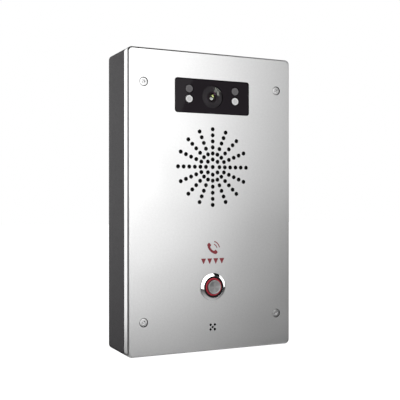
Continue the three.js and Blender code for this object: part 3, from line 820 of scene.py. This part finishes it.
# ---- call button -----------------------------------------------------------------------------
def call_button():
    """Domed bezel, its seal, a black sleeve, the red lamp ring and the cap, which slides on its own body."""
    at = (BUTTON.x, BUTTON.z)
    top = FRONT - BEZEL_HEIGHT
    barrel_end = span("button_bezel")[1].y
    flattest, steepest = math.radians(20), math.radians(40)
    bulge = (BEZEL_RADIUS - 0.1 - SLEEVE_RADIUS) / (math.sin(steepest) - math.sin(flattest))
    leans = [flattest + (steepest - flattest) * k / 10 for k in range(11)]
    crown = [(SLEEVE_RADIUS + bulge * (math.sin(t) - math.sin(flattest)),
              top + bulge * (math.cos(flattest) - math.cos(t))) for t in leans]
    profile = [*crown, (BEZEL_RADIUS, crown[-1][1] + 0.2), (BEZEL_RADIUS, FRONT - 0.5),
               (BARREL_RADIUS, FRONT - 0.5), (BARREL_RADIUS, barrel_end), (SLEEVE_RADIUS, barrel_end)]
    bezel = lathe("bezel", profile, at, CHROME, segments=192, soft=0.02)
    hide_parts("button_bezel")

    low, high = span("button_gasket")
    profile = [(9.5, low.y), (10.0, low.y), (10.0, high.y), (9.5, high.y)]
    seal = lathe("bezel_seal", profile, at, RUBBER, soft=0.1)
    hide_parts("button_gasket")

    low, high = span("button_sleeve")
    outer, inner = SLEEVE_RADIUS - 0.02, LAMP_RADIUS + 0.1
    profile = [(inner, low.y + 0.2), (inner + 0.2, low.y), (outer, top), (outer, high.y), (inner, high.y)]
    sleeve = lathe("button_liner", profile, at, LINER, segments=192, soft=0.04)
    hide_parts("button_sleeve")

    low, high = span("button_lamp_ring")
    inner = CAP_RADIUS + 0.2
    profile = [(inner, low.y + 0.15), (inner + 0.25, low.y), (LAMP_RADIUS - 0.3, low.y),
               (LAMP_RADIUS, low.y + 0.3), (LAMP_RADIUS, high.y), (inner, high.y)]
    ring = lathe("lamp_ring", profile, at, RED, segments=128)
    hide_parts("button_lamp_ring")

    low, high = span("button_cap")
    shoulder, stem, dish = FRONT + 3.6, 2.5, 0.1
    profile = [(0, low.y + dish), (CAP_RADIUS - 0.9, low.y + dish), (CAP_RADIUS - 0.7, low.y),
               (CAP_RADIUS - 0.25, low.y), (CAP_RADIUS, low.y + 0.25), (CAP_RADIUS, shoulder),
               (CAP_FLANGE, shoulder), (CAP_FLANGE, shoulder + 1), (stem, shoulder + 1), (stem, high.y),
               (0, high.y)]
    piece = lathe("cap", profile, at, TURNED_AND_PAINTED_HIGHLIGHTS, CALL_BUTTON, segments=128)
    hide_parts("button_cap")


def return_spring():
    """Round-wire coil with flat ground ends."""
    low, high = span("button_spring")
    wire, mean, turns, steps, sides = 0.25, 3.9, 4, 48, 10
    start, end = low.y + wire, high.y - wire
    points, faces = [], []
    total = turns * steps
    for i in range(total + 1):
        turn = 2 * math.pi * i / steps
        y = start + (end - start) * i / total
        for k in range(sides):
            lean = 2 * math.pi * k / sides
            radius = mean + wire * math.cos(lean)
            points.append((BUTTON.x + radius * math.cos(turn), y + wire * math.sin(lean),
                           BUTTON.z + radius * math.sin(turn)))
    for i in range(total):
        for k in range(sides):
            a, b = i * sides + k, i * sides + (k + 1) % sides
            faces.append((a, b, b + sides, a + sides))
    faces.append(tuple(reversed(range(sides))))
    faces.append(tuple(range(total * sides, (total + 1) * sides)))
    piece = make("return_spring", points, faces, ZINC)
    smooth(piece)
    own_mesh(piece)
    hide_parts("button_spring")


# ---- printed signs ---------------------------------------------------------------------------
INK_THICKNESS = 0.04
INK_LIFT = 0.002


def printed(name, outlines):
    """Thin ink film on the cover, one closed solid for each outline of (x, z) points."""
    parts = []
    for outline in outlines:
        area = sum(a[0] * b[1] - b[0] * a[1] for a, b in zip(outline, outline[1:] + outline[:1]))
        ring = outline if area > 0 else outline[::-1]
        parts.append(prism(ring, FRONT - INK_THICKNESS, FRONT - INK_LIFT))
    film = make(name, *joined(parts), INK)


def placed(points, turn, at):
    """Points turned by an angle in degrees and moved to at."""
    c, s = math.cos(math.radians(turn)), math.sin(math.radians(turn))
    return [(at[0] + x * c - z * s, at[1] + x * s + z * c) for x, z in points]


def arc_band(radius, width, start, end, steps=20):
    """Part of a ring, with angles in degrees."""
    turns = [math.radians(start + (end - start) * k / steps) for k in range(steps + 1)]
    outside = [((radius + width / 2) * math.cos(t), (radius + width / 2) * math.sin(t)) for t in turns]
    inside = [((radius - width / 2) * math.cos(t), (radius - width / 2) * math.sin(t)) for t in turns]
    return softened(outside + inside[::-1], 0.3, closed=True)


def bow(start, end, level, bottom, steps=14):
    """Shallow arc from (start, level) through (0, bottom) to (end, level)."""
    sag = level - bottom
    radius = (start ** 2 + sag ** 2) / (2 * sag)
    reach = math.asin(abs(start) / radius)
    way = 1 if end > start else -1
    turns = [way * reach * (2 * k / steps - 1) for k in range(steps + 1)]
    return [(radius * math.sin(t), bottom + radius * (1 - math.cos(t))) for t in turns]


def handset_sign():
    """Plain telephone handset on the slant, opening to the upper right, with two sound arcs."""
    middle = (BUTTON.x - 0.5, BUTTON.z + 28.0)
    back = bow(-5.2, 5.2, -0.6, -2.35)
    hollow = bow(2.35, -2.35, 0.1, -0.5)
    outline = [*back, (5.2, 1.6), (2.35, 1.6), *hollow, (-2.35, 1.6), (-5.2, 1.6)]
    handset = placed(softened(outline, 0.75, closed=True), -45, middle)
    arcs = [placed(arc_band(radius, 0.72, start, end), 0, (middle[0] + 0.1, middle[1] - 0.5))
            for radius, start, end in ((4.1, 16, 69), (6.15, 13, 74))]
    printed("handset_sign", [handset, *arcs])


def pointing_marks():
    """Row of four small triangles that point down at the button."""
    wide, tall, pitch = 4.1, 4.4, 5.0
    marks = []
    for k in range(4):
        x = BUTTON.x + (k - 1.5) * pitch
        z = BUTTON.z + 18.8
        corners = [(x - wide / 2, z + tall / 2), (x + wide / 2, z + tall / 2), (x, z - tall / 2)]
        marks.append(softened(corners, 0.35, closed=True))
    printed("pointing_marks", marks)


# ---- pieces kept from the frame ----------------------------------------------------------------
KEPT = {
    ZINC: ["camera_bracket", "camera_nut_1", "camera_nut_2", "speaker_frame", "speaker_magnet", "button_nut",
           "network_jack"] + [f"speaker_nut_{i}" for i in (1, 2, 3, 4)]
    + [f"board_screw_{i}" for i in (1, 2, 3, 4)],
    BOARD: ["main_board", "camera_board", "light_board"],
    CHIP: ["image_sensor", "processor"] + [f"{name}_chip" for name in LIGHTS],
    RUBBER: ["window_gasket", "speaker_gasket"],
    CLOTH: ["speaker_cone", "microphone_capsule"],
    PLASTIC: ["button_switch"],
    BLACK_METAL: ["heat_sink"],
    GREEN: ["terminal_block"],
    BRASS: [f"button_terminal_{i}" for i in (1, 2, 3, 4)],
}


def finish_kept_nodes():
    for material, names in KEPT.items():
        for name in names:
            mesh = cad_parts[name].data
            mesh.materials.clear()
            mesh.materials.append(material)


# ---- stage -----------------------------------------------------------------------------------
def emission(name, colour, strength):
    material = bpy.data.materials.new(name)
    material.use_nodes = True
    shader = material.node_tree.nodes["Principled BSDF"]
    shader.inputs["Base Color"].default_value = (*colour, 1)
    shader.inputs["Roughness"].default_value = 0.9
    shader.inputs["Emission Color"].default_value = (*colour, 1)
    shader.inputs["Emission Strength"].default_value = strength
    return material


def floor():
    """Pale floor. It stays out of all reflections, which the world's own gradient fills."""
    size, drop = 20000, -700
    points = [(-size, -size, drop), (size, -size, drop), (size, size, drop), (-size, size, drop)]
    plane = make("floor", points, [(0, 1, 2, 3)], emission("floor_white", (0.9, 0.9, 0.9), 1.2), None)
    plane.visible_glossy = False
    plane.visible_diffuse = False


def softbox(name, place, aim, width, height, radiance, turn=0.0, colour=(1, 1, 1), only=(), spared=()):
    """Rectangular light. It lights nothing but the pieces in only, or all but the pieces in spared."""
    data = bpy.data.lights.new(name, "AREA")
    data.shape = "RECTANGLE"
    data.size, data.size_y = width * MM, height * MM
    data.energy = radiance * math.pi * data.size * data.size_y
    data.color = colour
    lamp = bpy.data.objects.new(name, data)
    facing = (Vector(aim) - Vector(place)).to_track_quat("-Z", "Y").to_matrix().to_4x4()
    rolled = facing @ Matrix.Rotation(math.radians(turn), 4, "Z")
    lamp.matrix_world = Matrix.Translation(Vector(place) * MM) @ rolled
    lamp.visible_camera = False
    bpy.context.scene.collection.objects.link(lamp)
    if only or spared:
        receivers = bpy.data.collections.new(f"{name}_receivers")
        for piece in (*only, *spared):
            receivers.objects.link(bpy.data.objects[piece])
        for member in receivers.collection_objects:
            member.light_linking.link_state = "INCLUDE" if only else "EXCLUDE"
        lamp.light_linking.receiver_collection = receivers


def around(azimuth, height, reach=1300):
    """Place at an azimuth from straight ahead, to the right, at a height."""
    turn = math.radians(azimuth)
    return (reach * math.sin(turn), -reach * math.cos(turn), height)


def glint(name, target, azimuth, elevation, width, height, radiance, turn, pieces, colour=(1, 1, 1)):
    """Light 1 m from a target, seen from there at an azimuth and elevation. It only lights the pieces."""
    rise = math.radians(elevation)
    away = Vector(around(azimuth, 0, 1000 * math.cos(rise))) + Vector((0, 0, 1000 * math.sin(rise)))
    softbox(name, target + away, target, width, height, radiance, turn, colour, pieces)


def sky(*stops):
    """World seen by everything but the camera: a grey for each height on the unit sphere."""
    world = bpy.data.worlds.new("studio")
    bpy.context.scene.world = world
    world.use_nodes = True
    tree = world.node_tree
    dim = tree.nodes["Background"]
    place = tree.nodes.new("ShaderNodeTexCoord")
    parts = tree.nodes.new("ShaderNodeSeparateXYZ")
    share = tree.nodes.new("ShaderNodeMapRange")
    share.inputs["From Min"].default_value = -1
    ramp = tree.nodes.new("ShaderNodeValToRGB")
    while len(ramp.color_ramp.elements) < len(stops):
        ramp.color_ramp.elements.new(0.5)
    for element, (height, value) in zip(ramp.color_ramp.elements, stops):
        element.position = (height + 1) / 2
        element.color = (value, value, value, 1)
    white = tree.nodes.new("ShaderNodeBackground")
    white.inputs["Color"].default_value = (1, 1, 1, 1)
    path = tree.nodes.new("ShaderNodeLightPath")
    mix = tree.nodes.new("ShaderNodeMixShader")
    links = [
        (place.outputs["Generated"], parts.inputs[0]),
        (parts.outputs["Z"], share.inputs[0]),
        (share.outputs[0], ramp.inputs[0]),
        (ramp.outputs[0], dim.inputs[0]),
        (path.outputs["Is Camera Ray"], mix.inputs[0]),
        (dim.outputs[0], mix.inputs[1]),
        (white.outputs[0], mix.inputs[2]),
        (mix.outputs[0], tree.nodes["World Output"].inputs[0]),
    ]
    for source, target in links:
        tree.links.new(source, target)


def stage():
    """Pale floor and sky, three lights for the whole panel, and small ones for its polished pieces."""
    bpy.context.scene.view_settings.view_transform = "Standard"
    floor()
    sky((-1, 0.6), (-0.35, 0.125), (-0.02, 0.0), (0.05, 0.68), (0.45, 0.015), (1, 0.01))
    own_lights = ("bezel", "window_pane", "lens_dome", "lens_tube", "lens_bead")
    softbox("key", (-100, -1330, 507), (282, -87, 507), 1856, 1411, 2.25, -10, spared=own_lights)
    softbox("back_left", around(-150, 245), (0, 0, 175), 1400, 1170, 1.6)
    softbox("overhead", (806, 195, 1000), (0, 0, 0), 560, 560, 0.5)

    glint("window_sheen", WINDOW, -10, 8, 1224, 900, 1.5, -17.3, ("window_pane",))
    glint("lens_fan", LENS, 33, 14, 108, 138, 10, 45, ("lens_dome", "lens_tube"), (0.92, 1.0, 0.85))
    glint("lens_spark", LENS, 45, 28, 620, 620, 26, 0, ("lens_bead",), (0.95, 1.0, 0.35))
    glint("lens_glow", LENS, 13.5, -31, 1300, 900, 24, -17, ("lens_bead",), (1, 0.96, 0.95))
    glint("bezel_left", BUTTON, -30, 25, 2400, 1620, 1.6, 0, ("bezel",))
    glint("bezel_top", BUTTON, -10, 45, 1434, 1500, 1.6, 11.3, ("bezel",))
    glint("bezel_right", BUTTON, 85, 5, 1500, 480, 1.6, 0, ("bezel",))
    glint("bezel_upper_right", BUTTON, 80, 18, 1400, 500, 1.6, 20.7, ("bezel",))


front_cover()
cover_gasket()
cover_screws()
back_box()
cable_grommet()
camera_window()
light_windows()
lens()
acoustic_parts()
call_button()
return_spring()
handset_sign()
pointing_marks()
finish_kept_nodes()
stage()
